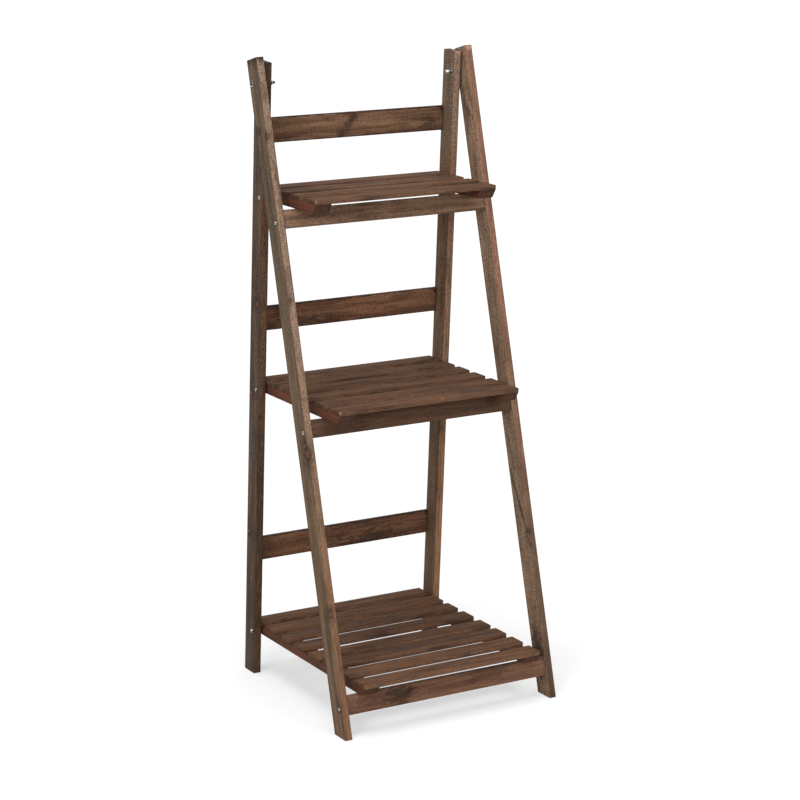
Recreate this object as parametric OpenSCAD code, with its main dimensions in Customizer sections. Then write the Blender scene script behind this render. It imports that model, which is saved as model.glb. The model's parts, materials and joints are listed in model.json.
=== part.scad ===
// A folding plant ladder: a rear frame and a front frame of flat wooden legs, hinged on two
// bolts near the top, and three slatted shelves that turn on screws in the rear legs and rest
// on the rails of the front frame. Lengths are millimetres and angles are degrees. +Z is up,
// the open front of the stand faces -Y and +X is the right-hand side seen from the front.
// The origin is on the floor, below the middle of the stand.

/* [Stand] */
// Height from the floor to the top of the front legs
stand_h = 1063; // [1040:1:1090]
// Clear width between the two rear legs
clear_w = 342; // [300:1:380]
// Lean of the rear legs, away from upright
rear_lean = 3.8; // [3.4:0.1:4.4]
// Lean of the front legs, away from upright
front_lean = 14.9; // [14.4:0.1:15.4]
// Gap between a rear leg and the front leg beside it
leg_gap = 4.4; // [3.6:0.1:6]

/* [Legs] */
// Width of a leg, seen from the side
leg_w = 35; // [33:0.5:38]
// Thickness of a leg
leg_t = 13; // [12:0.5:15]
// Length of a rear leg above the pivot bolt
rear_top = 34; // [30:0.5:38]
// Length of a front leg above the pivot bolt
front_top = 38.5; // [35:0.5:42]
// Distance from the pivot bolt to the front edge of a rear leg
rear_inset = 10.3; // [9.8:0.1:11]
// Distance from the pivot bolt to the rear edge of a front leg
front_inset = 7.6; // [7.2:0.1:8.2]

/* [Rails] */
// Width of a rail of the rear frame
back_rail_w = 41.5; // [36:0.5:46]
// Thickness of a rail of the rear frame
back_rail_t = 7; // [6:0.5:8]
// Height of the upper rear rail above the top shelf
back_rail_top_rise = 70.5; // [64:0.5:80]
// Height of the middle rear rail above the middle shelf
back_rail_middle_rise = 81.5; // [74:0.5:94]
// Height of the lower rear rail above the bottom shelf
back_rail_bottom_rise = 109; // [100:0.5:124]
// Width of the upper two rails of the front frame
front_rail_w = 30; // [27:0.5:34]
// Width of the lowest rail of the front frame
low_front_rail_w = 31.5; // [28:0.5:35]
// Thickness of a rail of the front frame
front_rail_t = 13; // [11:0.5:14]
// Distance that a front rail sits back from the front edges of its legs
front_rail_set = 1.5; // [0.5:0.1:3]

/* [Shelves] */
// Distance from the top of the stand down to the top shelf
top_shelf_drop = 216; // [206:0.5:229]
// Distance from the top shelf down to the middle shelf
middle_shelf_drop = 326.5; // [315:0.5:338]
// Height of the bottom shelf
bottom_shelf_z = 87.5; // [82:0.5:92]
// Reach of the top shelf in front of the rail that it rests on
top_overhang = 72; // [64:0.5:78]
// Reach of the middle shelf in front of the rail that it rests on
middle_overhang = 60.5; // [54:0.5:66]
// Reach of the bottom shelf in front of the rail that it rests on
bottom_overhang = 21; // [16:0.5:30]
// Reach of the top shelf behind its screws
top_tail = 23; // [20:0.5:26]
// Reach of the middle shelf behind its screws
middle_tail = 26.5; // [23:0.5:30]
// Reach of the bottom shelf behind its screws
bottom_tail = 32; // [28:0.5:36]
// Width of a slat
slat_w = 34; // [30:0.5:36]
// Thickness of a slat
slat_t = 7; // [6:0.5:8]
// Width of a bearer, the flat strip under the ends of the slats
bearer_w = 29; // [24:1:32]
// Height of the bearers of the upper two shelves
bearer_h = 15; // [12:0.5:16]
// Height of the bearers of the bottom shelf
low_bearer_h = 12.5; // [11:0.5:15]
// Length of the slope under the front end of a bearer
bearer_bevel = 10; // [4:0.5:14]
// Gap between the end of a shelf and the rear leg beside it
shelf_play = 3.5; // [2:0.1:5]

/* [Hardware] */
// Diameter of a pivot bolt
bolt_d = 5; // [4.5:0.1:6]
// Diameter of the domed head of a pivot bolt
bolt_head_d = 11.5; // [10:0.5:14]
// Width of a nut across its flats
nut_w = 8; // [7.5:0.5:9]
// Diameter of the shank of a wood screw
screw_d = 4; // [3.5:0.1:4.2]
// Diameter of the head of a wood screw
screw_head_d = 6.5; // [6:0.5:8]
// Diameter of the shank of a slat nail
nail_d = 1.8; // [1.6:0.1:2]

/* [Hidden] */
$fn = 48;

// Names of the shelves, from the top down, and what each shelf measures
SHELVES = ["top", "middle", "bottom"];
slat_counts = [4, 6, 8];
top_shelf_z = stand_h - top_shelf_drop;
middle_shelf_z = top_shelf_z - middle_shelf_drop;
shelf_z = [top_shelf_z, middle_shelf_z, bottom_shelf_z];
overhang = [top_overhang, middle_overhang, bottom_overhang];
tail = [top_tail, middle_tail, bottom_tail];
bearer_height = [bearer_h, bearer_h, low_bearer_h];
front_rail_width = [front_rail_w, front_rail_w, low_front_rail_w];
// Depth of the shelf screws below the top face of each shelf
screw_depth = [15.5, 14.5, 11.5];
back_rail_rise = [back_rail_top_rise, back_rail_middle_rise, back_rail_bottom_rise];
// The slats are nailed by eye: how far each one sits in front of its even place, from the rear
slat_stray = [[0, 0.5, -0.5, 0], [0, 1, -1.5, -2, -0.5, 0], [0, -1.5, -3, -2.5, 0.5, -1, -1, 0]];
shelf_list = [0, 1, 2];

// Clearances
turn_fit = 0.05;    // round a bolt or screw that something turns on
tight_fit = 0.02;   // round a nail, screw or dowel that holds
face_gap = 0.2;     // between flat faces that turn past each other
rest_gap = 0.1;     // under a shelf that rests on its rail
end_gap = 0.5;      // between the end of a nail or dowel and the end of its hole
cut = 1;            // how far a cut runs past the face that it opens

// Eased edges
leg_ease = 0.8;
rail_ease = 0.6;
slat_ease = 0.4;

// Hardware
bolt_head_h = 2.5;
bolt_end = 5.5;             // bolt thread beyond its nut
nut_h = 4;
washer_d = 10;
washer_t = 1;
spacer_d = 11;
screw_len = 38;
screw_head_h = 2.2;
screw_slot_w = 0.9;
screw_slot_depth = 0.7;
rail_screw_drop = 19.5;   // rail screws below the upper edge of their rail
nail_len = 15;
nail_head_d = 3.2;
nail_head_h = 0.6;
dowel_d = 4;
dowel_in_leg = 8;
dowel_in_rail = 14;
hexagon = 6;

// Colours
rear_wood = "#9C8268";
front_wood = "#C09E7E";
back_rail_wood = "#A07458";
front_rail_wood = "#AE8468";
slat_wood = "#A8806A";
bearer_wood = "#A5664C";
dowel_wood = "#C8A880";
zinc = "#B9BCC0";
stained_steel = "#4A382D";
spacer_black = "#2B2928";

// Widths across the stand
rear_x = clear_w / 2;                     // inner face of a rear leg
rear_outer_x = rear_x + leg_t;
front_x = rear_outer_x + leg_gap;         // inner face of a front leg
front_outer_x = front_x + leg_t;
shelf_x = rear_x - shelf_play;            // end of a slat, and outer face of a bearer
bearer_x = shelf_x - bearer_w;

// The pivot bolts, with heights above the floor and depths measured from the bolt
front_face = -(leg_w - front_inset);      // front edge of a front leg
pivot_z = stand_h - front_top * cos(front_lean) + front_face * sin(front_lean);
rail_face = front_face + front_rail_set;  // front face of a front rail
rear_edge = leg_w - rear_inset;           // rear edge of a rear leg

// Distance along the leg from the bolt down to the lower edge of a rear rail
function back_rail_low(i) = (pivot_z - shelf_z[i] - back_rail_rise[i]
    + (rear_edge - back_rail_t) * sin(rear_lean)) / cos(rear_lean);

// Each shelf: the height of its underside and its screws, and its ends from the bolt
function under_z(i) = shelf_z[i] - slat_t - bearer_height[i];
function screw_z(i) = shelf_z[i] - screw_depth[i];
function screw_back(i) = (pivot_z - screw_z(i)) * tan(rear_lean);
function rail_drop(i) =
    (pivot_z - under_z(i) + rest_gap - (rail_face + rail_ease) * sin(front_lean)) / cos(front_lean);
function rail_back(i) = rail_face * cos(front_lean) - rail_drop(i) * sin(front_lean);
function shelf_front(i) = rail_back(i) - overhang[i];
function shelf_back(i) = screw_back(i) + tail[i];
function slat_pitch(i) = (shelf_back(i) - shelf_front(i) - slat_w) / (slat_counts[i] - 1);

// The middle of the depth is at the origin
foot_front = -pivot_z * tan(front_lean) + front_face / cos(front_lean);
foot_back = pivot_z * tan(rear_lean) + rear_edge / cos(rear_lean);
reach_front = min([foot_front, for (i = shelf_list) shelf_front(i)]);
reach_back = max([foot_back, for (i = shelf_list) shelf_back(i)]);
pivot_y = -(reach_front + reach_back) / 2;

SIDES = ["left", "right"];
slat_names = [for (i = shelf_list) for (n = [1:slat_counts[i]]) str(SHELVES[i], "_slat_", n)];
bearer_names = [for (i = shelf_list) for (side = SIDES) str(SHELVES[i], "_bearer_", side)];

// A rectangle with its corners cut off
module eased_rectangle(w, h, ease) {
    polygon([[ease, 0], [w - ease, 0], [w, ease], [w, h - ease],
             [w - ease, h], [ease, h], [0, h - ease], [0, ease]]);
}

// A board that runs across the stand from -half to half, w deep and h high
module cross_board(half, w, h, ease) {
    translate([-half, 0, 0]) rotate([90, 0, 90])
        linear_extrude(2 * half) eased_rectangle(w, h, ease);
}

// A round bar along X
module bar(from, to, d) {
    translate([from, 0, 0]) rotate([0, 90, 0]) cylinder(h = to - from, d = d);
}

// A flat ring along X, in contact with what comes before and after it
module ring(from, to, d, hole_d) {
    difference() {
        bar(from, to, d);
        bar(from - cut, to + cut, hole_d);
    }
}

// A domed head that stands on the plane x = from and faces +X
module dome(from, d, h) {
    rim = 0.25;     // straight part of the rim, as a share of the height
    steps = 8;
    translate([from, 0, 0]) rotate([0, 90, 0]) rotate_extrude()
        polygon(concat([[0, 0], [d / 2, 0]],
            [for (k = [0:steps]) [d / 2 * cos(90 * k / steps),
                                  h * (rim + (1 - rim) * sin(90 * k / steps))]]));
}

// A wood screw whose head stands on the plane x = from and whose shank runs back from it
module screw(from) {
    difference() {
        union() {
            dome(from, screw_head_d, screw_head_h);
            bar(from - screw_len, from + screw_head_h / 2, screw_d);
        }
        for (turn = [0, 90])
            translate([from + screw_head_h, 0, 0]) rotate([turn, 0, 0])
                cube([2 * screw_slot_depth, screw_head_d / 2, screw_slot_w], center = true);
    }
}

module both_sides() {
    children();
    mirror([1, 0, 0]) children();
}

module on_side(side) {
    if (side == "left") mirror([1, 0, 0]) children();
    else children();
}

// Places in the leaning frames, with the pivot bolt at the origin and the leg running down
module in_rear_frame() {
    translate([0, pivot_y, pivot_z]) rotate([rear_lean, 0, 0]) children();
}

module in_front_frame() {
    translate([0, pivot_y, pivot_z]) rotate([-front_lean, 0, 0]) children();
}

// A place at the screws of a shelf
module at_shelf_screws(i) {
    translate([0, pivot_y + screw_back(i), screw_z(i)]) children();
}

// The leg before it is cut level at the floor
module leg_blank(inner_x, front, above) {
    below = pivot_z / cos(front_lean) + leg_w;
    translate([inner_x, front, -below])
        linear_extrude(above + below) eased_rectangle(leg_t, leg_w, leg_ease);
}

module above_floor() {
    intersection() {
        children();
        translate([0, -stand_h / 2, 0]) cube([stand_h, stand_h, 2 * stand_h]);
    }
}

// --- Rear frame ---

module rear_leg(side) {
    color(rear_wood) on_side(side) difference() {
        above_floor() in_rear_frame() leg_blank(rear_x, -rear_inset, rear_top);
        in_rear_frame() {
            bar(rear_x - cut, rear_outer_x + cut, bolt_d + 2 * turn_fit);
            for (i = shelf_list) back_dowel_place(i)
                bar(rear_x - cut, rear_x + dowel_in_leg, dowel_d + 2 * tight_fit);
        }
        for (i = shelf_list) at_shelf_screws(i)
            bar(rear_x - cut, rear_outer_x + cut, screw_d + 2 * turn_fit);
    }
}

module back_dowel_place(i) {
    translate([0, rear_edge - back_rail_t / 2, -back_rail_low(i) + back_rail_w / 2]) children();
}

module back_rail(i) {
    color(back_rail_wood) in_rear_frame() difference() {
        translate([0, rear_edge - back_rail_t, -back_rail_low(i)])
            cross_board(rear_x, back_rail_t, back_rail_w, rail_ease);
        both_sides() back_dowel_place(i)
            bar(rear_x - dowel_in_rail, rear_x + cut, dowel_d + 2 * tight_fit);
    }
}

module back_rail_dowels() {
    color(dowel_wood) in_rear_frame() both_sides() for (i = shelf_list) back_dowel_place(i)
        bar(rear_x - dowel_in_rail + end_gap, rear_x + dowel_in_leg - end_gap, dowel_d);
}

// --- Front frame ---

module rail_screw_place(i) {
    translate([0, rail_face + front_rail_t / 2, -rail_drop(i) - rail_screw_drop]) children();
}

module front_leg(side) {
    color(front_wood) on_side(side) difference() {
        above_floor() in_front_frame() leg_blank(front_x, front_face, front_top);
        in_front_frame() {
            bar(front_x - cut, front_outer_x + cut, bolt_d + 2 * turn_fit);
            for (i = shelf_list) rail_screw_place(i)
                bar(front_x - cut, front_outer_x + cut, screw_d + 2 * tight_fit);
        }
    }
}

module front_rail(i) {
    color(front_rail_wood) in_front_frame() difference() {
        translate([0, rail_face, -rail_drop(i) - front_rail_width[i]])
            cross_board(front_x, front_rail_t, front_rail_width[i], rail_ease);
        both_sides() rail_screw_place(i)
            bar(front_outer_x - screw_len - end_gap, front_x + cut, screw_d + 2 * tight_fit);
    }
}

module front_rail_screws() {
    color(zinc) in_front_frame() both_sides() for (i = shelf_list) rail_screw_place(i)
        screw(front_outer_x);
}

// --- Pivot hardware: it stays with the rear frame, and the front legs turn on the bolts ---

nut_x = rear_x - washer_t;               // face of the nut against its washer

module pivot_bolts() {
    color(zinc) in_rear_frame() both_sides() {
        dome(front_outer_x + face_gap, bolt_head_d, bolt_head_h);
        bar(nut_x - nut_h - bolt_end, front_outer_x + face_gap + bolt_head_h / 2, bolt_d);
    }
}

module pivot_spacers() {
    color(spacer_black) in_rear_frame() both_sides()
        ring(rear_outer_x, front_x - face_gap, spacer_d, bolt_d + 2 * turn_fit);
}

module pivot_washers() {
    color(zinc) in_rear_frame() both_sides()
        ring(nut_x, rear_x, washer_d, bolt_d + 2 * turn_fit);
}

module pivot_nuts() {
    color(zinc) in_rear_frame() both_sides() difference() {
        translate([nut_x - nut_h, 0, 0]) rotate([0, 90, 0])
            cylinder(h = nut_h, d = nut_w / cos(180 / hexagon), $fn = hexagon);
        bar(nut_x - nut_h - cut, nut_x + cut, bolt_d + 2 * tight_fit);
    }
}

// --- Shelves ---

// Middle of slat n of a shelf, counted from the rear
function slat_middle(i, n) =
    pivot_y + shelf_back(i) - slat_w / 2 - (n - 1) * slat_pitch(i) - slat_stray[i][n - 1];

module nail_place(i, n) {
    translate([shelf_x - bearer_w / 2, slat_middle(i, n), shelf_z[i]]) children();
}

module nail_hole() {
    translate([0, 0, -nail_head_h]) cylinder(h = cut, d = nail_head_d + 2 * tight_fit);
    translate([0, 0, -nail_len - end_gap]) cylinder(h = nail_len, d = nail_d + 2 * tight_fit);
}

module slat(i, n) {
    color(slat_wood) difference() {
        translate([0, slat_middle(i, n) - slat_w / 2, shelf_z[i] - slat_t])
            cross_board(shelf_x, slat_w, slat_t, slat_ease);
        both_sides() nail_place(i, n) nail_hole();
    }
}

module bearer(i, side) {
    front = pivot_y + shelf_front(i);
    back = pivot_y + shelf_back(i);
    top = shelf_z[i] - slat_t;
    color(bearer_wood) on_side(side) difference() {
        translate([bearer_x, 0, 0]) rotate([90, 0, 90]) linear_extrude(bearer_w)
            polygon([[front, top], [back, top], [back, under_z(i)], [front + bearer_bevel, under_z(i)]]);
        for (n = [1:slat_counts[i]]) nail_place(i, n) nail_hole();
        at_shelf_screws(i)
            bar(rear_outer_x - screw_len - end_gap, shelf_x + cut, screw_d + 2 * tight_fit);
    }
}

module slat_nails(i) {
    color(stained_steel) both_sides() for (n = [1:slat_counts[i]]) nail_place(i, n) {
        translate([0, 0, -nail_head_h]) cylinder(h = nail_head_h, d = nail_head_d);
        translate([0, 0, -nail_len]) cylinder(h = nail_len, d = nail_d);
    }
}

module shelf_screws(i) {
    color(zinc) both_sides() at_shelf_screws(i) screw(rear_outer_x + face_gap);
}

for (side = SIDES) {
    rear_leg(side);
    front_leg(side);
}
for (i = shelf_list) {
    back_rail(i);
    front_rail(i);
    for (side = SIDES)
        bearer(i, side);
    for (n = [1:slat_counts[i]])
        slat(i, n);
    slat_nails(i);
    shelf_screws(i);
}
back_rail_dowels();
front_rail_screws();
pivot_bolts();
pivot_spacers();
pivot_washers();
pivot_nuts();
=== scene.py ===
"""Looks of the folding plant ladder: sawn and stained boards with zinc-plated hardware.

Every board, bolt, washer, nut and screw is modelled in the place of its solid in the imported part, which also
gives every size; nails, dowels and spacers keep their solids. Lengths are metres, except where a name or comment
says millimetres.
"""
import json
import math
import random

import bpy
from mathutils import Matrix, Vector


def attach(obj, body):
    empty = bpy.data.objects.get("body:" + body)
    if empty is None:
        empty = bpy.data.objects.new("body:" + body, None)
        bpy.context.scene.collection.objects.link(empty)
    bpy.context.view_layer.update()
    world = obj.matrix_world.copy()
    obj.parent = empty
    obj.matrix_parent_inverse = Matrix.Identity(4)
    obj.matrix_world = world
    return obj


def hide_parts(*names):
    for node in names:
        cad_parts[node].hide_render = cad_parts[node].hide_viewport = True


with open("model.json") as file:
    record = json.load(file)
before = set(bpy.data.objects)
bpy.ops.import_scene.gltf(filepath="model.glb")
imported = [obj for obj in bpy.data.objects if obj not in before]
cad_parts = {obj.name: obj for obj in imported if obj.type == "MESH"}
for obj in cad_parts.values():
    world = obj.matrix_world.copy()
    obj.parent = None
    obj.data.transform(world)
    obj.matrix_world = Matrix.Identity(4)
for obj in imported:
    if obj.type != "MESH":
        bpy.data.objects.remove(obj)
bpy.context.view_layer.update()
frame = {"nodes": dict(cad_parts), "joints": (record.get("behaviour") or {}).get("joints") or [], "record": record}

MM = 0.001
X, Y, Z = 0, 1, 2
QUARTER = math.pi / 2
draw = random.Random(11)   # seeded, so every run cuts the same boards

# --- Places in the stand, from its joints ---

joints = {joint["name"]: joint for joint in frame["joints"]}
pivot = Vector(joints["front_frame_fold"]["pos_m"])
lowest_screw = Vector(joints["bottom_shelf_lift"]["pos_m"])
rear_lean = math.atan2(lowest_screw.y - pivot.y, pivot.z - lowest_screw.z)
front_lean = math.radians(joints["front_frame_fold"]["range_deg"][1]) - rear_lean

# The frames that the boards lie square in. The leaning ones start at the pivot bolts.
UPRIGHT = Matrix.Identity(4)
REAR = Matrix.Translation(pivot) @ Matrix.Rotation(rear_lean, 4, "X")
FRONT = Matrix.Translation(pivot) @ Matrix.Rotation(-front_lean, 4, "X")

FASTENERS_APART = 20 * MM   # least height between two fasteners of one node


def points_in(place, node):
    """The points of a CAD node, measured in a frame."""
    back = place.inverted()
    return [back @ vertex.co for vertex in frame["nodes"][node].data.vertices]


def box_of(points):
    """Lowest and highest corner of some points."""
    return Vector(map(min, zip(*points))), Vector(map(max, zip(*points)))


def solids_on_right(place, node):
    """The points of each solid of a node on the right-hand side, in a frame, from the bottom up."""
    solids = []
    for point in sorted((p for p in points_in(place, node) if p.x > 0), key=lambda p: p.z):
        if not solids or point.z - solids[-1][-1].z > FASTENERS_APART:
            solids.append([])
        solids[-1].append(point)
    return solids


# --- Modelling, one move at a time ---

def pick(piece, kind, chosen):
    """Leaves a piece in edit mode with just those edges or faces selected that chosen() accepts."""
    bpy.ops.object.mode_set(mode="EDIT")
    bpy.ops.mesh.select_mode(type=kind)
    bpy.ops.mesh.select_all(action="DESELECT")
    bpy.ops.object.mode_set(mode="OBJECT")
    mesh = piece.data
    for part in mesh.edges if kind == "EDGE" else mesh.polygons:
        part.select = chosen([mesh.vertices[i].co for i in part.vertices])
    bpy.ops.object.mode_set(mode="EDIT")


def runs_along(axis):
    """Accepts the edges that run mainly along an axis."""
    return lambda ends: abs((ends[1] - ends[0])[axis]) > 0.7 * (ends[1] - ends[0]).length


def cut_along(piece, axis, length, cell):
    """Cuts a piece into cells of about one size along an axis."""
    pick(piece, "EDGE", runs_along(axis))
    cuts = round(length / cell) - 1
    if cuts > 0:
        bpy.ops.mesh.subdivide(number_cuts=cuts)
    bpy.ops.object.mode_set(mode="OBJECT")


def cut_off(through, outside):
    """Cuts the active piece through a point, drops what lies outside and closes the cut."""
    bpy.ops.object.mode_set(mode="EDIT")
    bpy.ops.mesh.select_all(action="SELECT")
    bpy.ops.mesh.bisect(plane_co=through, plane_no=outside, use_fill=True, clear_outer=True)
    bpy.ops.object.mode_set(mode="OBJECT")


def select_only(piece):
    bpy.ops.object.select_all(action="DESELECT")
    piece.select_set(True)
    bpy.context.view_layer.objects.active = piece


def apply_transforms(piece):
    select_only(piece)
    bpy.ops.object.transform_apply(location=True, rotation=True, scale=True)


def apply_modifier(piece, kind, **settings):
    modifier = piece.modifiers.new(kind.lower(), kind)
    for name, value in settings.items():
        setattr(modifier, name, value)
    bpy.context.view_layer.objects.active = piece
    bpy.ops.object.modifier_apply(modifier=modifier.name)


def finish_piece(piece, body, replaced, finish, smooth_below):
    """Shades a piece smooth across edges below an angle in degrees, gives it its finish and fixes
    it to its body."""
    select_only(piece)
    bpy.ops.object.shade_smooth_by_angle(angle=math.radians(smooth_below))
    piece.data.materials.clear()
    piece.data.materials.append(finish)
    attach(piece, body)
    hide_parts(replaced)


# --- Boards ---

SHARP_EDGE = math.radians(35)
UNEVEN = 0.15 * MM   # how far the saw left a face below its true plane, at most
saw_texture = bpy.data.textures.new("sawn_face", "CLOUDS")
saw_texture.noise_scale = 24 * MM
saw_texture.noise_depth = 3


def sorted_axes(size):
    """The axes of a board: along the grain, across its width and through its thickness."""
    return sorted((X, Y, Z), key=lambda axis: -size[axis])


def mark_grain(piece, place, low, high, axes, from_log):
    """Stores what the finish reads, in millimetres: where each point of a board lay in its log
    (grain), how near it is to an edge and to an end (board), and whether it is on a narrow face.

    The third number of board is the board's own tone, from -1, dark, to 1."""
    along, across, through = axes
    middle, half = (low + high) / 2, (high - low) / 2
    ground = place.inverted() @ Vector((0, 0, 0))
    down = place.inverted().to_3x3() @ Vector((0, 0, -1))
    tone = draw.uniform(-1, 1)
    mesh = piece.data
    kinds = {"grain": "FLOAT_VECTOR", "board": "FLOAT_VECTOR", "narrow_face": "FLOAT"}
    for name, kind in kinds.items():
        mesh.attributes.new(name, kind, "POINT")
    grain, board, narrow = (mesh.attributes[name].data for name in kinds)
    for vertex in mesh.vertices:
        off = vertex.co - middle
        grain[vertex.index].vector = [off[axis] / MM + start for axis, start in zip(axes, from_log)]
        side = half[across] - abs(off[across])
        face = half[through] - abs(off[through])
        end = min(half[along] - abs(off[along]), down.dot(ground - vertex.co))
        edge = max(min(side, face), min(max(side, face), end))
        board[vertex.index].vector = (edge / MM, end / MM, tone)
        narrow[vertex.index].value = float(side < face)


def board(node, name, place, body, slot, finish, ease, cell, slope=0.0):
    """Models one board in the place of its CAD node: a block, cut at the floor where it reaches it,
    with eased edges and the slight unevenness of sawn wood."""
    low, high = box_of(points_in(place, node))
    size = high - low
    axes = sorted_axes(size)
    bpy.ops.object.select_all(action="DESELECT")
    bpy.ops.mesh.primitive_cube_add(size=1, location=(low + high) / 2)
    piece = bpy.context.object
    piece.scale = size
    apply_transforms(piece)
    piece.name = piece.data.name = name

    back = place.inverted()
    cut_off(through=back @ Vector((0, 0, 0)), outside=back.to_3x3() @ Vector((0, 0, -1)))
    if slope:   # the underside of a bearer rises towards its front end
        pick(piece, "EDGE", lambda ends: all(p.y < low.y + MM and p.z < low.z + MM for p in ends))
        bpy.ops.transform.translate(value=(0, slope, 0))
        bpy.ops.object.mode_set(mode="OBJECT")

    for axis in axes[:2]:
        cut_along(piece, axis, size[axis], cell)
    bpy.ops.object.mode_set(mode="EDIT")
    bpy.ops.mesh.select_mode(type="EDGE")
    bpy.ops.mesh.select_all(action="DESELECT")
    bpy.ops.mesh.edges_select_sharp(sharpness=SHARP_EDGE)
    bpy.ops.mesh.bevel(offset=ease, segments=2, affect="EDGES")
    bpy.ops.object.mode_set(mode="OBJECT")

    # Where the board's middle lay in its log, in millimetres: along, beside and out from the pith
    from_log = (draw.uniform(0, 4000), draw.uniform(-26, 26),
                draw.choice((-1, 1)) * draw.uniform(14, 46))
    mark_grain(piece, place, low, high, axes, from_log)
    piece.data.transform(place)
    apply_modifier(piece, "DISPLACE", texture=saw_texture, strength=UNEVEN, mid_level=1)
    finish_piece(piece, body, node, finish, smooth_below=40)


# --- Finishes ---

def colour(code):
    """A colour of the usual six-digit form, as the shader's linear values."""
    channels = [int(code[i:i + 2], 16) / 255 for i in (1, 3, 5)]
    linear = [c / 12.92 if c < 0.04045 else ((c + 0.055) / 1.055) ** 2.4 for c in channels]
    return (*linear, 1)


class Nodes:
    """The few moves that build a node tree. A value is another node's output, or a plain number,
    place or colour."""

    def __init__(self, tree):
        self.tree = tree

    def put(self, socket, value):
        """Links a socket to the output of another node, or sets it to a plain value."""
        if isinstance(value, bpy.types.NodeSocket):
            self.tree.links.new(value, socket)
        else:
            socket.default_value = value

    def node(self, kind, *values, **settings):
        """Adds a node and fills its first inputs in order."""
        made = self.tree.nodes.new("ShaderNode" + kind)
        for name, value in settings.items():
            setattr(made, name, value)
        for socket, value in zip(made.inputs, values):
            self.put(socket, value)
        return made

    def maths(self, operation, *values):
        return self.node("Math", *values, operation=operation).outputs[0]

    def plus(self, first, second):
        return self.maths("ADD", first, second)

    def times(self, first, second):
        return self.maths("MULTIPLY", first, second)

    def more_of(self, first, second):
        return self.maths("MAXIMUM", first, second)

    def rest_of(self, share):
        return self.maths("SUBTRACT", 1.0, share)

    def vector(self, operation, *values):
        made = self.node("VectorMath", *values, operation=operation)
        return made.outputs["Value" if operation == "LENGTH" else "Vector"]

    def parts(self, vector):
        return self.node("SeparateXYZ", vector).outputs

    def turned(self, place, centre, angle):
        """A place, turned about the line along X through a centre."""
        made = self.node("VectorRotate", place, centre, rotation_type="X_AXIS")
        made.inputs["Angle"].default_value = angle
        return made.outputs[0]

    def noise(self, place, stretch, detail=2.0, roughness=0.5, output=0):
        """Noise over a place, which is first multiplied by stretch. Output 0 is a value and
        output 1 a vector."""
        made = self.node("TexNoise")
        self.put(made.inputs["Vector"], self.vector("MULTIPLY", place, stretch))
        made.inputs["Scale"].default_value = 1
        made.inputs["Detail"].default_value = detail
        made.inputs["Roughness"].default_value = roughness
        return made.outputs[output]

    def ramp(self, value, start, stop, to_start=0.0, to_stop=1.0):
        """Rises smoothly from to_start to to_stop as value goes from start to stop."""
        return self.node("MapRange", value, start, stop, to_start, to_stop,
                         interpolation_type="SMOOTHSTEP").outputs[0]

    def mix(self, share, first, second, blend="MIX"):
        """Mixes two colours, which are a Mix node's inputs 6 and 7, into its output 2."""
        made = self.node("Mix", data_type="RGBA", blend_type=blend)
        for index, value in ((0, share), (6, first), (7, second)):
            self.put(made.inputs[index], value)
        return made.outputs[2]

    def any_ray(self, *kinds):
        """1 for a ray of one of the kinds, else 0."""
        rays = self.node("LightPath").outputs
        found = rays[kinds[0]]
        for kind in kinds[1:]:
            found = self.more_of(found, rays[kind])
        return found


class Finish(Nodes):
    """A material."""

    def __init__(self, name):
        self.material = bpy.data.materials.new(name)
        self.material.use_nodes = True
        super().__init__(self.material.node_tree)
        self.shader = self.tree.nodes["Principled BSDF"]
        self.here = self.node("TexCoord").outputs["Object"]

    def from_middle(self):
        """How far to the left or the right of the stand's middle."""
        return self.maths("ABSOLUTE", self.parts(self.here)[X])

    def away_from(self, place, centre, half_size, turn=0):
        """Distance from a centre, which reaches 1 at the half sizes. Both are millimetres. turn is
        the angle about X, in degrees, from the long half size to the vertical."""
        offset = self.vector("SUBTRACT", place, tuple(c * MM for c in centre))
        if turn:
            offset = self.turned(offset, (0, 0, 0), math.radians(turn))
        scale = tuple(1 / (half * MM) for half in half_size)
        return self.vector("LENGTH", self.vector("MULTIPLY", offset, scale))

    def show(self, base_colour, roughness, relief, depth):
        """Links the colour, the roughness and the relief, which is depth high, to the shader."""
        bump = self.node("Bump")
        bump.inputs["Strength"].default_value = 0.5
        bump.inputs["Distance"].default_value = depth
        self.put(bump.inputs["Height"], relief)
        self.put(self.shader.inputs["Normal"], bump.outputs["Normal"])
        self.put(self.shader.inputs["Base Color"], base_colour)
        self.put(self.shader.inputs["Roughness"], roughness)


# Colours of all the boards
# Next line: the knots' rims, the dark edge lines, which are painted shade, and the dark of the ends, which is
# soaked-up stain and on the left legs' tops painted shade
KNOT_RIM, DARK_EDGE, END_STAIN_AND_SHADE = "#30211A", "#1E1612", "#2A2827"
# The dark brown of the stains also paints the shadows cast on the left rear leg
STAIN_AND_SHADOW, BARE_WOOD = "#2B211B", "#B08A74"
RUBBED = (1.6, 1.55, 1.5)      # how many times lighter a shade is where it is rubbed
RING_DEPTH = 0.28              # how far the growth rings darken the shade
RING_GAP, SAW_GAP = 4.2, 3.9   # millimetres from one growth ring or saw mark to the next
ROUND_BELOW = 20               # millimetres below which the half size of a stain makes it rounder


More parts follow.
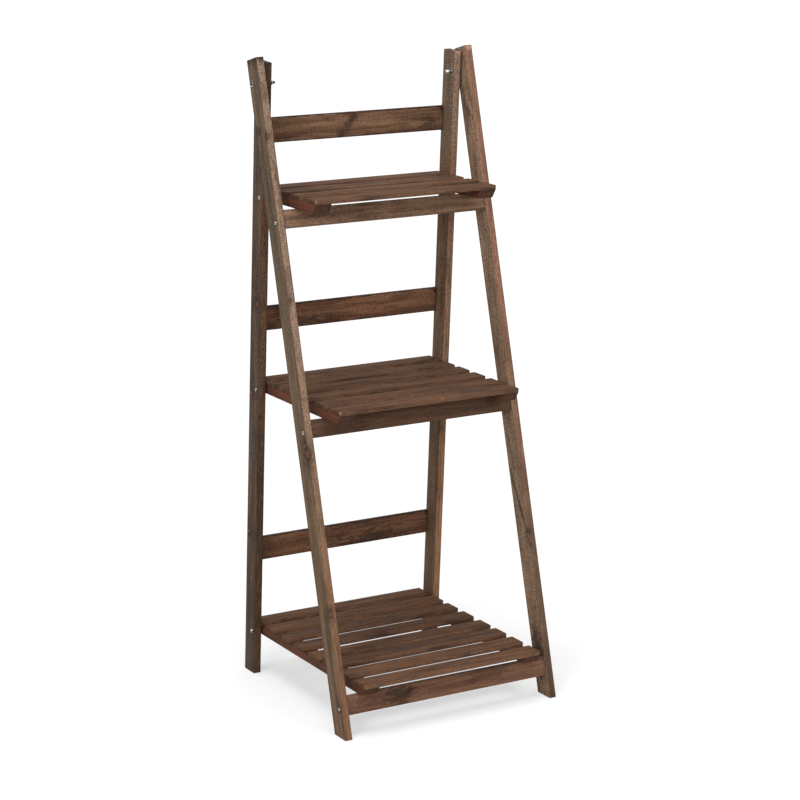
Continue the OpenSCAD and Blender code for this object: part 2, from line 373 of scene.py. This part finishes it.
class Wood(Finish):
    """Stained wood. shade is its colour so far, and flow its grain, bent round the knots."""

    def __init__(self, name, lean):
        super().__init__(name)
        self.grain = self.node("Attribute", attribute_name="grain").outputs["Vector"]
        self.along, self.across = self.parts(self.grain)[:2]
        marks = self.node("Attribute", attribute_name="board").outputs["Vector"]
        self.to_edge, self.to_end, self.tone = self.parts(marks)
        self.on_narrow = self.node("Attribute", attribute_name="narrow_face").outputs["Fac"]
        self.on_wide = self.rest_of(self.on_narrow)
        self.above_floor = self.parts(self.here)[Z]
        self.low_down = self.ramp(self.above_floor, 0.62, 0.15)   # 0 high up, 1 near the floor
        self.leaning = self.vector("SUBTRACT", self.turned(self.here, pivot, -lean), pivot)
        self.shade = None

    def tinge(self, share, tint):
        """Mixes a share of a colour into the shade."""
        self.shade = self.mix(share, self.shade, tint)

    def shade_times(self, factors):
        return self.mix(1.0, self.shade, factors + (1,), "MULTIPLY")

    def bend_grain(self, knots):
        """Lets the grain wander along the log and bulge round each knot, and marks the knots."""
        sway = self.noise(self.grain, (0.005, 0.03, 0.03), 3, output=1)
        sway = self.vector("SUBTRACT", sway, (0.5, 0.5, 0.5))
        flow = self.vector("ADD", self.grain, self.vector("MULTIPLY", sway, (0, 22, 22)))
        self.knot_core, self.knot_rim, self.knot_halo, swell = 0.0, 0.0, 0.0, 0.0
        for centre, half_size in knots:
            ragged = self.ramp(self.noise(self.here, (230, 230, 230)), 0.25, 0.75, -0.22, 0.22)
            away = self.plus(self.away_from(self.leaning, centre, half_size), ragged)
            swell = self.plus(swell, self.ramp(away, 4.5, 0.8, 0, 5))
            rim = self.times(self.ramp(away, 1.8, 1.2), self.ramp(away, 0.6, 1.0))
            self.knot_core = self.more_of(self.knot_core, self.ramp(away, 1.0, 0.6))
            self.knot_rim = self.more_of(self.knot_rim, rim)
            self.knot_halo = self.more_of(self.knot_halo, self.ramp(away, 4.2, 1.4))
        self.flow = self.vector("ADD", flow, self.node("CombineXYZ", 0.0, swell, swell).outputs[0])

    def late_wood(self):
        """The dark side of each growth ring, fainter in some places."""
        radius = self.vector("LENGTH", self.vector("MULTIPLY", self.flow, (0, 1, 1)))
        radius = self.plus(radius, self.times(self.along, 0.01))   # the log is a little tapered
        phase = self.maths("FRACT", self.maths("DIVIDE", radius, RING_GAP))
        late = self.times(self.ramp(phase, 0.3, 0.9), self.ramp(phase, 1.0, 0.92))
        faint = self.noise(self.grain, (0.012, 0.06, 0.06))
        return self.times(late, self.ramp(faint, 0.35, 0.65, 0.25, 1))

    def saw_marks(self, inside):
        """Lines across the wide faces, a little skewed and broken. inside is the X beyond which
        there are none, so that a leg has them on its inner face alone."""
        skew = self.plus(self.along, self.times(self.across, 0.12))
        skew = self.plus(skew, self.times(self.noise(self.grain, (0.05, 0.05, 0.05)), 4))
        line = self.ramp(self.maths("SINE", self.times(skew, 2 * math.pi / SAW_GAP)), -0.1, 0.8)
        worn = self.noise(self.grain, (0.016, 0.08, 0.08), 3)
        line = self.times(line, self.ramp(worn, 0.34, 0.54, 0.35, 1))
        broken = self.noise(self.grain, (0.3, 0.12, 0.12))
        line = self.times(line, self.ramp(broken, 0.3, 0.6, 0.3, 1))
        line = self.times(line, self.on_wide)
        if inside is not None:
            line = self.times(line, self.maths("LESS_THAN", self.from_middle(), inside))
        return self.times(line, self.rest_of(self.times(self.low_down, 0.2)))


def sawn_wood(name, pale, middle, dark, narrow=None, narrow_low=None, grey="#574E41", weather=0.35,
              streak_depth=0.45, patch_depth=0.45, fleck_depth=0.5, saw_depth=0.0, saw_inside=None,
              end_dark=0.15, edge_dark=0.35, wear=0.2, tints=(), lean=0.0, knots=(),
              heart="#7B5C45", stains_and_shadows=(), stain_and_shadow_depth=0.55, chips=()):
    """Stained softwood: growth rings cut through by the faces, fibres, streaks, weathering, saw marks, knots,
    stains and painted shadows.

    narrow and narrow_low colour the narrow faces, high up and near the floor. Each of tints is two
    heights, and the factors for red, green and blue that set in from the first to the second.
    heart is the colour inside the knots. Each knot, stain or painted shadow is its place and half sizes in the
    leaning frame, and each chip in the stand, in millimetres. A stain or painted shadow may add a turn in degrees."""
    wood = Wood(name, lean)
    pale, middle, dark = map(colour, (pale, middle, dark))
    wood.bend_grain(knots)
    late = wood.late_wood()
    fibres = wood.noise(wood.flow, (0.05, 1.5, 1.5), 4, 0.6)

    # Bands of two shades, grey where they have weathered
    bands = wood.noise(wood.flow, (0.004, 0.1, 0.1))
    wood.shade = wood.mix(wood.ramp(bands, 0.36, 0.64), middle, pale)
    weathered = wood.ramp(wood.noise(wood.flow, (0.0035, 0.075, 0.075)), 0.42, 0.62)
    wood.tinge(wood.times(weathered, weather), colour(grey))
    if narrow:
        narrow = wood.mix(wood.low_down, colour(narrow), colour(narrow_low or narrow))
        wood.tinge(wood.times(wood.on_narrow, wood.ramp(bands, 0.3, 0.7, 0.95, 0.75)), narrow)
    for start, stop, factors in tints:
        wood.tinge(wood.ramp(wood.above_floor, start, stop), wood.shade_times(factors))

    # Patches, rings, streaks, hair lines and fibres
    patches = wood.noise(wood.grain, (0.013, 0.06, 0.06), 3, 0.6)
    wood.tinge(wood.ramp(patches, 0.5, 0.66, 0, patch_depth), dark)
    wood.tinge(wood.ramp(patches, 0.46, 0.32, 0, patch_depth), pale)
    wood.tinge(wood.times(late, RING_DEPTH), dark)
    streaks = wood.ramp(wood.noise(wood.flow, (0.006, 0.2, 0.2), 3, 0.6), 0.52, 0.7)
    wood.tinge(wood.times(streaks, streak_depth), dark)
    hairs = wood.ramp(wood.noise(wood.flow, (0.016, 0.85, 0.85)), 0.56, 0.7)
    wood.tinge(wood.times(hairs, 0.5 * streak_depth), dark)
    wood.tinge(wood.ramp(fibres, 0.35, 0.7, 0.22, 0), dark)

    # Flecks and pores, which show pale as well as dark, and the board's own tone
    speckle = wood.noise(wood.grain, (0.26, 0.5, 0.5), 3, 0.65)
    if narrow_low:
        fleck_depth = wood.ramp(wood.times(wood.low_down, wood.on_narrow), 0, 1,
                                fleck_depth, 0.5 * fleck_depth)
    wood.tinge(wood.ramp(speckle, 0.52, 0.68, 0, fleck_depth), dark)
    pale_flecks = wood.ramp(speckle, 0.47, 0.32, 0, wood.times(fleck_depth, 0.6))
    wood.tinge(wood.times(pale_flecks, wood.on_wide), pale)
    pores = wood.noise(wood.grain, (0.42, 0.8, 0.8), 2, 0.6)
    wood.tinge(wood.ramp(pores, 0.52, 0.64, 0, fleck_depth), dark)
    pale_pores = wood.ramp(pores, 0.46, 0.34, 0, fleck_depth)
    wood.tinge(wood.times(pale_pores, wood.on_narrow), wood.shade_times(RUBBED))
    wood.tinge(wood.ramp(wood.tone, -1, 1, 0.16, 0), dark)

    relief = wood.plus(wood.times(fibres, 0.5), wood.times(late, 0.16))
    if saw_depth:
        line = wood.saw_marks(saw_inside)
        wood.tinge(wood.times(line, saw_depth), dark)
        relief = wood.maths("SUBTRACT", relief, wood.times(line, 0.5))
    if knots:
        wood.tinge(wood.times(wood.knot_halo, wood.ramp(speckle, 0.35, 0.65, 0.2, 0.75)), dark)
        wood.tinge(wood.times(wood.knot_core, 0.7), colour(heart))
        wood.tinge(wood.times(wood.knot_rim, 0.65), colour(KNOT_RIM))
        relief = wood.maths("SUBTRACT", relief, wood.times(wood.knot_rim, 0.6))

    # The wide faces darken towards their edges, a painted shade along the edges; the edges themselves are rubbed;
    # and the ends are darker, apart from the feet, from soaked-up stain and, on the left legs' tops, from painted
    # shade
    ragged = wood.ramp(wood.noise(wood.grain, (0.08, 0.5, 0.5), 3), 0.3, 0.7, -1, 1.5)
    to_edge = wood.plus(wood.to_edge, ragged)
    rim_line = wood.times(wood.ramp(to_edge, 2.8, 0.4, 0, edge_dark), wood.on_wide)
    wood.tinge(rim_line, colour(DARK_EDGE))
    wood.tinge(wood.ramp(to_edge, 1.6, 0.2, 0, wear), wood.shade_times(RUBBED))
    near_end = wood.ramp(wood.plus(wood.to_end, wood.times(fibres, 10)), 18, 4, 0, end_dark)
    near_end = wood.times(near_end, wood.ramp(wood.above_floor, 0.1, 0.25))
    wood.tinge(near_end, colour(END_STAIN_AND_SHADE))

    # Stains of the weather and the screws, painted shadows in the same dark brown, and chips that show bare wood
    blotchy = wood.ramp(wood.noise(wood.flow, (0.06, 0.2, 0.2), 3, 0.7), 0.3, 0.7, -0.7, 1.1)
    for centre, half_size, *turn in stains_and_shadows:
        blotches = wood.times(blotchy, min(1, max(half_size) / ROUND_BELOW))
        away = wood.plus(wood.away_from(wood.leaning, centre, half_size, *turn), blotches)
        wood.tinge(wood.ramp(away, 1.8, 0.5, 0, stain_and_shadow_depth), colour(STAIN_AND_SHADOW))
    for centre, half_size in chips:
        ragged = wood.ramp(wood.noise(wood.here, (500, 500, 500)), 0.3, 0.7, -0.4, 0.4)
        away = wood.plus(wood.away_from(wood.here, centre, half_size), ragged)
        wood.tinge(wood.ramp(away, 1.1, 0.7, 0, 0.85), colour(BARE_WOOD))

    wood.shader.inputs["Specular IOR Level"].default_value = 0.18
    wood.show(wood.shade, wood.ramp(fibres, 0.3, 0.7, 0.7, 0.85), relief, depth=0.4 * MM)
    return wood.material


def metal(name, dull, bright, rough, smooth, metallic=1.0, dark_reflection_beyond=None):
    """Plated or moulded surface with a mottle of dull and bright spots, which are painted dark and bright
    reflections. Beyond the X that the last argument gives, most spots are dark: a painted dark reflection."""
    plate = Finish(name)
    mottle = plate.noise(plate.here, (360, 360, 360))
    glint = plate.ramp(mottle, 0.4, 0.6)
    # Outside that X the spots turn mostly dark: painted dark reflection on the outer bolt heads
    if dark_reflection_beyond:
        outside = plate.maths("GREATER_THAN", plate.from_middle(), dark_reflection_beyond)
        glint = plate.mix(outside, glint, plate.ramp(mottle, 0.54, 0.66))
    plate.shader.inputs["Metallic"].default_value = metallic
    plate.show(plate.mix(glint, colour(dull), colour(bright)),
               plate.ramp(mottle, 0.3, 0.7, smooth, rough), mottle, depth=0.08 * MM)
    return plate.material


# --- Marks on the wood: place and half sizes in millimetres ---

# Knots, stains and painted shadows are placed in the leaning frames, from the middle between the pivot bolts
FRONT_KNOTS = (
    ((-199, -27.4, -857), (2.8, 3.2, 5.4)),
    ((-201.4, -24, -599), (4.5, 6, 8.5)),
    ((-199, -27, -89), (2.4, 2.4, 3.6)),
    ((-198, -27.4, -352), (2, 2, 3)),
    ((188.4, -10, -72), (2, 1.8, 5)),
)
REAR_KNOTS = (
    ((-184, 20, -523), (3, 9, 4)),
    ((-184, 19, -769), (3, 9, 4)),
    ((-184, 2, -367), (5, 5, 6)),
    ((171, 6, -330), (2.4, 2.4, 5)),
)
LEFT_OUTSIDE, RIGHT_INSIDE = -201.4, 188.4   # X of those faces of the front legs
rail_screws = [sum(points, Vector()) / len(points) / MM
               for points in solids_on_right(FRONT, "front_rail_screws")]


def at_screw(index, forward=0, up=0):
    """A place on the left front leg beside a rail's screw. Screw 0 is the lowest."""
    return LEFT_OUTSIDE, rail_screws[index].y - forward, rail_screws[index].z + up


SCREW_STAINS = tuple((at_screw(index), (4, 3.5, 5)) for index in range(len(rail_screws))) + (
    (at_screw(0, up=12), (4, 4, 14)),
    (at_screw(1, forward=2, up=-11), (4, 3.5, 6)),
)
BOLT_STAIN = ((LEFT_OUTSIDE, 0, -78), (4, 8, 9))
TOP_STAIN = ((-195, -10, 42), (16, 26, 12))
RESIN_LINE = tuple(((RIGHT_INSIDE, 6 - 5.5 * step ** 1.15, -50 - 8 * step), (6, 1.2, 5))
                   for step in range(6))
LEG_STAINS_AND_SHADOWS = {
    "front_leg_left": SCREW_STAINS + (BOLT_STAIN, TOP_STAIN),
    "front_leg_right": RESIN_LINE + (
        ((RIGHT_INSIDE, -8, -985), (1, 25, 45)),
        ((RIGHT_INSIDE, -10, -724), (6, 2, 80), 15.6),
        ((RIGHT_INSIDE, -16, -758), (6, 1.5, 50), 14),
    ),
    # The two marks on the left rear leg are painted shadow: the front leg's shadow on its front face, near the top
    # and low down
    "rear_leg_left": (((-178, -11, -20), (9, 4, 75)), ((-178, -11, -760), (9, 6, 190))),
}
RAIL_STAINS = {
    "back_rail_top": (((-5, 17.7, -70), (8, 3, 7)), ((-13, 17.7, -83), (8, 3, 7)),
                      ((-24, 17.7, -96), (8, 3, 6)), ((143, 17.7, -93), (16, 3, 11))),
    "back_rail_middle": (((-60, 17.7, -412), (40, 3, 7)), ((-132, 17.7, -386), (14, 3, 16))),
    "back_rail_bottom": (((50, 17.7, -816), (58, 3, 16)),),
    "front_rail_bottom": (((-93, -26, -1008), (22, 3, 16)), ((-72, -26, -1001), (4, 3, 4))),
}


# Chips are placed in the stand
def left_end(slat):
    """The upper front corner of a slat at its left end."""
    low, high = box_of(points_in(UPRIGHT, slat))
    return Vector((low.x, low.y, high.z)) / MM


def on_leg(place, x, y, z):
    """A place that is measured in a leaning frame."""
    return place @ (Vector((x, y, z)) * MM) / MM


middle_end = left_end("middle_slat_6")
SLAT_CHIPS = (
    (left_end("top_slat_4"), (2.2, 2, 3)),
    (middle_end, (2.5, 2, 5)),
    ((22.5, middle_end.y + 4, middle_end.z), (0.8, 7, 4)),
)
RIGHT_TOP_CHIPS = (
    (on_leg(FRONT, 194.5, -27.4, 34.5), (6, 3, 6)),
    (on_leg(REAR, 177.5, -10.3, 34.5), (6, 3, 5)),
)

# --- Every leg and rail has its own shade of the stain ---

LEG_SHADES = {
    "rear_leg_left": {
        "pale": "#745C49", "middle": "#504136", "dark": "#281F19", "grey": "#463F37",
        "narrow": "#76563C", "narrow_low": "#65482F", "weather": 0.42, "heart": "#7C4C36"},
    "rear_leg_right": {
        "pale": "#947559", "middle": "#7B6049", "dark": "#3A2A1F", "narrow": "#A07A61",
        "narrow_low": "#B0845F", "weather": 0.2, "end_dark": 0, "chips": RIGHT_TOP_CHIPS,
        "tints": ((0.86, 0.95, (1.2, 1.4, 1.65)),)},
    "front_leg_left": {
        "pale": "#8A725B", "middle": "#675744", "dark": "#382C22", "narrow": "#AB8D77",
        "narrow_low": "#82644B", "heart": "#6C4637", "stain_and_shadow_depth": 0.7, "fleck_depth": 0.65,
        "tints": ((0.62, 0.15, (1.2, 1.05, 0.95)),)},
    "front_leg_right": {
        "pale": "#C8A384", "middle": "#A88B71", "dark": "#4A3A2E", "narrow": "#9C6C56",
        "narrow_low": "#40291C", "end_dark": 0, "chips": RIGHT_TOP_CHIPS, "stain_and_shadow_depth": 0.75,
        "tints": ((0.3, 0.05, (0.8, 0.78, 0.76)),)},
}
RAIL_SHADES = {   # pale and middle
    "back_rail_top": ("#B58C6A", "#88624A"),
    "back_rail_middle": ("#AC7B5A", "#80563F"),
    "back_rail_bottom": ("#966C4F", "#704B36"),
    "front_rail_top": ("#AF8A6E", "#896852"),
    "front_rail_middle": ("#6E513D", "#553B2D"),
    "front_rail_bottom": ("#986E55", "#765140"),
}


def leg_finish(node):
    rear = node.startswith("rear")
    low, high = box_of(points_in(REAR if rear else FRONT, node))
    # The darker tops of the left legs are soaked-up stain and partly painted shade; the right legs have none
    settings = {"saw_depth": 0.75, "fleck_depth": 0.8, "end_dark": 0.7, **LEG_SHADES[node]}
    return sawn_wood(f"{node}_stain", stains_and_shadows=LEG_STAINS_AND_SHADOWS.get(node, ()),
                     saw_inside=abs(low.x + high.x) / 2, lean=rear_lean if rear else -front_lean,
                     knots=REAR_KNOTS if rear else FRONT_KNOTS, **settings)


def rail_finish(node):
    pale, middle = RAIL_SHADES[node]
    settings = {"lean": -front_lean, "weather": 0.2}
    if node.startswith("back"):
        # The back rails' top and bottom faces and the lines along their edges are painted near-black: painted
        # shade
        settings = {"lean": rear_lean, "weather": 0.1, "narrow": DARK_EDGE, "wear": 0,
                    "edge_dark": 0.9, "saw_depth": 0.75 if node.endswith("bottom") else 0.55}
    return sawn_wood(f"{node}_stain", pale, middle, dark="#3C281E", end_dark=0,
                     stains_and_shadows=RAIL_STAINS.get(node, ()), stain_and_shadow_depth=0.65, **settings)


# The slats' narrow faces are painted lighter than their tops: painted light that makes up for the less light
# reaching them
slat_wood = sawn_wood(
    "slat_stain", "#7D5639", "#5D3D29", "#2C1E16", narrow="#86624C", weather=0.15,
    streak_depth=0.35, patch_depth=0.6, edge_dark=0.2, wear=0, chips=SLAT_CHIPS)
bearer_wood = sawn_wood(
    "bearer_stain", "#6B4736", "#56382B", "#35221A", narrow="#72412C", weather=0.1, wear=0)
# The metals' mottles are painted reflections; the bolts' outer heads are painted mostly dark
zinc = metal("zinc_plate", "#55554F", "#CFCDC8", rough=0.34, smooth=0.2)
bolt_zinc = metal("bolt_plate", "#2B2D2F", "#D3D6D8", rough=0.34, smooth=0.2,
                  dark_reflection_beyond=195 * MM)
stained_steel = metal("stained_steel", "#33271F", "#4A382D", rough=0.7, smooth=0.55, metallic=0.4)
nylon = metal("black_nylon", "#171514", "#24211F", rough=0.7, smooth=0.5, metallic=0.0)

# --- The boards in their places ---

SHELVES, SIDES = ("top", "middle", "bottom"), ("left", "right")
# How far the edges are eased, and how long the cells are that the unevenness moves
LEG_EASE, RAIL_EASE, SLAT_EASE = 0.7 * MM, 0.5 * MM, 0.3 * MM
LEG_CELL, RAIL_CELL, BEARER_CELL, SLAT_CELL = 12 * MM, 10 * MM, 9 * MM, 8 * MM

for side in SIDES:
    for body, place in (("rear_frame", REAR), ("front_frame", FRONT)):
        node = body.replace("frame", f"leg_{side}")
        slot = body.replace("frame", "leg_wood")
        board(node, f"{node}_board", place, body, slot, leg_finish(node), LEG_EASE, LEG_CELL)
for shelf in SHELVES:
    for node, place, body in ((f"back_rail_{shelf}", REAR, "rear_frame"),
                              (f"front_rail_{shelf}", FRONT, "front_frame")):
        board(node, f"{node}_board", place, body, "rail_wood", rail_finish(node),
              RAIL_EASE, RAIL_CELL)
    body = f"{shelf}_shelf"
    for side in SIDES:
        node = f"{shelf}_bearer_{side}"
        points = points_in(UPRIGHT, node)
        low, high = box_of(points)
        underside = [point.y for point in points if point.z < low.z + 0.1 * MM]
        board(node, f"{node}_strip", UPRIGHT, body, "bearer_wood", bearer_wood,
              RAIL_EASE, BEARER_CELL, slope=min(underside) - low.y)
    for node in frame["record"]["behaviour"]["bodies"][body]:
        if "_slat_" in node and "nails" not in node:
            board(node, f"{node}_board", UPRIGHT, body, "slat_wood", slat_wood,
                  SLAT_EASE, SLAT_CELL)

# --- Fasteners, each modelled once along X with the seat of its head at X = 0 ---


def round_bar(radius, start, stop, sides=32):
    bpy.ops.mesh.primitive_cylinder_add(
        vertices=sides, radius=radius, depth=stop - start,
        location=((start + stop) / 2, 0, 0), rotation=(0, QUARTER, 0))
    piece = bpy.context.object
    apply_transforms(piece)
    return piece


def round_rims(piece, width):
    """Rounds the rims of a disc or a short bar."""
    pick(piece, "EDGE", lambda ends: abs(ends[0].x - ends[1].x) < 0.01 * MM)
    bpy.ops.mesh.bevel(offset=width, segments=2, affect="EDGES")
    bpy.ops.object.mode_set(mode="OBJECT")


def domed_head(radius, height):
    """Half of a flattened ball, with its flat side at X = 0."""
    bpy.ops.mesh.primitive_uv_sphere_add(
        segments=36, ring_count=20, radius=radius, rotation=(0, QUARTER, 0))
    piece = bpy.context.object
    piece.scale = (1, 1, height / radius)
    apply_transforms(piece)
    cut_off(through=(0, 0, 0), outside=(-1, 0, 0))
    return piece


def combine(piece, tool, operation):
    """Applies a boolean with another piece, which is used up."""
    select_only(piece)
    apply_modifier(piece, "BOOLEAN", object=tool, operation=operation)
    bpy.data.objects.remove(tool)


def join(pieces):
    bpy.ops.object.select_all(action="DESELECT")
    for piece in pieces:
        piece.select_set(True)
    bpy.context.view_layer.objects.active = pieces[0]
    bpy.ops.object.join()
    return pieces[0]


def thread(piece, start, stop, pitch, core):
    """Cuts ridges into a bar between two places, by drawing in every second ring of its points to
    the core, which is a share of the bar's radius."""
    cut_along(piece, X, stop - start, pitch / 2)
    low = min(vertex.co.x for vertex in piece.data.vertices)
    high = max(vertex.co.x for vertex in piece.data.vertices)
    step = (high - low) / round((stop - start) / (pitch / 2))
    pick(piece, "EDGE", lambda ends: all(round((p.x - low) / step) % 2 == 0 for p in ends))
    bpy.ops.transform.resize(value=(1, core, core), center_override=(0, 0, 0))
    bpy.ops.object.mode_set(mode="OBJECT")


def carriage_bolt(head_radius, head_height, radius, length):
    bare = 0.6 * length
    piece = domed_head(head_radius, head_height)
    combine(piece, round_bar(radius, -bare, 0.5 * head_height), "UNION")
    end = round_bar(radius, -length, -bare)
    thread(end, -length, -bare, pitch=0.8 * MM, core=0.86)
    return join([piece, end])


def wood_screw(head_radius, head_height, radius, length):
    """A screw with a domed head and a cross recess."""
    piece = domed_head(head_radius, head_height)
    combine(piece, round_bar(radius, -length, 0.3 * head_height), "UNION")
    for turn in (0, QUARTER):
        bpy.ops.mesh.primitive_cube_add(
            size=1, location=(head_height, 0, 0), rotation=(turn, 0, 0))
        recess = bpy.context.object
        recess.scale = (1.5 * head_height, 1.15 * head_radius, 0.24 * head_radius)
        apply_transforms(recess)
        combine(piece, recess, "DIFFERENCE")
    return piece


def hexagon_nut(corner_radius, height):
    """A nut whose corners are rounded off towards both faces."""
    width = corner_radius * math.sqrt(3)
    piece = round_bar(corner_radius, 0, height, sides=6)
    blank = round_bar(corner_radius, 0, height, sides=48)
    round_rims(blank, 0.1 * width)
    combine(piece, blank, "INTERSECT")
    return piece


def flat_washer(radius, thickness):
    piece = round_bar(radius, 0, thickness, sides=40)
    round_rims(piece, 0.25 * thickness)
    return piece


def fasten(node, place, body, model, finish=zinc):
    """Puts a copy of a model at each solid of a node, right and left, and joins the copies.

    model is called with what the first solid measures, its head's radius and height and its
    shank's radius and length, and is deleted afterwards."""
    copies = []
    first = None
    for points in solids_on_right(place, node):
        low, high = box_of(points)
        middle = (low + high) / 2
        widest = (high.z - low.z) / 2
        seat = min(p.x for p in points if abs(p.z - middle.z) > 0.9 * widest)
        if first is None:
            thin = max(abs(p.z - middle.z) for p in points if p.x < low.x + 0.1 * MM)
            first = model(widest, high.x - seat, thin, seat - low.x)
        for turn in (0, math.pi):
            copy = first.copy()
            copy.data = first.data.copy()
            bpy.context.scene.collection.objects.link(copy)
            spot = Vector((-seat if turn else seat, middle.y, middle.z))
            copy.data.transform(place @ Matrix.Translation(spot) @ Matrix.Rotation(turn, 4, "Z"))
            copies.append(copy)
    bpy.data.objects.remove(first)
    made = join(copies)
    made.name = made.data.name = f"{node}_modelled"
    finish_piece(made, body, node, finish, smooth_below=35)


fasten("pivot_bolts", REAR, "rear_frame", carriage_bolt, bolt_zinc)
fasten("pivot_washers", REAR, "rear_frame", lambda radius, height, *_: flat_washer(radius, height))
fasten("pivot_nuts", REAR, "rear_frame", lambda radius, height, *_: hexagon_nut(radius, height))
fasten("front_rail_screws", FRONT, "front_frame", wood_screw)
for shelf in SHELVES:
    fasten(f"{shelf}_shelf_screws", UPRIGHT, f"{shelf}_shelf", wood_screw)

# --- Nails, dowels and spacers keep their solids ---

for name, node in frame["nodes"].items():
    if not node.hide_render:
        node.data.materials.clear()
        node.data.materials.append(bearer_wood if "dowel" in name
                                   else nylon if "spacer" in name else stained_steel)

# --- Floor and surroundings: white to the camera, and dimmer as light on the stand ---

FLOOR_TONE, FLOOR_GLOW = 0.46, 0.54   # how much light the floor reflects, and adds where it is seen
SKY_LIGHT = 0.42

bpy.ops.object.select_all(action="DESELECT")
bpy.ops.mesh.primitive_plane_add(size=30, location=(0, 0, -0.2 * MM))
floor = bpy.context.object
floor.name = "floor"
paper = Finish("pale_floor")
paper.shader.inputs["Roughness"].default_value = 1
paper.shader.inputs["Specular IOR Level"].default_value = 0
paper.shader.inputs["Base Color"].default_value = (FLOOR_TONE, FLOOR_TONE, FLOOR_TONE, 1)
glow = paper.node("Emission")
seen = paper.any_ray("Is Camera Ray", "Is Glossy Ray", "Is Transmission Ray")
paper.put(glow.inputs["Strength"], paper.times(seen, FLOOR_GLOW))
both = paper.node("AddShader", paper.shader.outputs[0], glow.outputs[0])
paper.put(paper.tree.nodes["Material Output"].inputs["Surface"], both.outputs[0])
floor.data.materials.append(paper.material)

world = bpy.data.worlds.new("studio")
bpy.context.scene.world = world
world.use_nodes = True
sky = Nodes(world.node_tree)
background = sky.tree.nodes["Background"]
background.inputs["Color"].default_value = (1, 1, 1, 1)
seen = sky.any_ray("Is Camera Ray", "Is Glossy Ray")
sky.put(background.inputs["Strength"], sky.node("MapRange", seen, 0, 1, SKY_LIGHT, 1).outputs[0])

# --- Lamps and camera ---


def set_up(name, data, towards):
    """Adds a lamp or a camera that points towards a direction."""
    made = bpy.data.objects.new(name, data)
    bpy.context.scene.collection.objects.link(made)
    made.rotation_mode = "QUATERNION"
    made.rotation_quaternion = Vector(towards).to_track_quat("-Z", "Y")
    return made


def lamp(name, towards, strength, softness):
    """A soft lamp far away. Softness is the angle that it fills, in degrees."""
    data = bpy.data.lights.new(name, "SUN")
    data.energy = strength
    data.angle = math.radians(softness)
    set_up(name, data, towards)


lamp("overhead_softbox", (0.1, 0.1, -1), strength=1.75, softness=36)
lamp("front_softbox", (0.25, 1.0, -0.35), strength=0.65, softness=60)
lamp("left_softbox", (1.0, 0.75, -0.45), strength=1.15, softness=20)

# The camera as it fits the photograph, whose frame is 800 pixels wide
SENSOR, FOCAL_PX, FRAME_PX = 36.0, 2505.07, 800
CAMERA_AT = (-2.01361, -3.48784, 1.47082)
YAW, PITCH = math.radians(-30.16), math.radians(-13.62)
camera_data = bpy.data.cameras.new("camera")
camera_data.sensor_width = SENSOR
camera_data.lens = SENSOR * FOCAL_PX / FRAME_PX
camera = set_up("camera", camera_data, towards=(
    -math.sin(YAW) * math.cos(PITCH), math.cos(YAW) * math.cos(PITCH), math.sin(PITCH)))
camera.location = CAMERA_AT
bpy.context.scene.camera = camera
bpy.context.scene.view_settings.view_transform = "Standard"
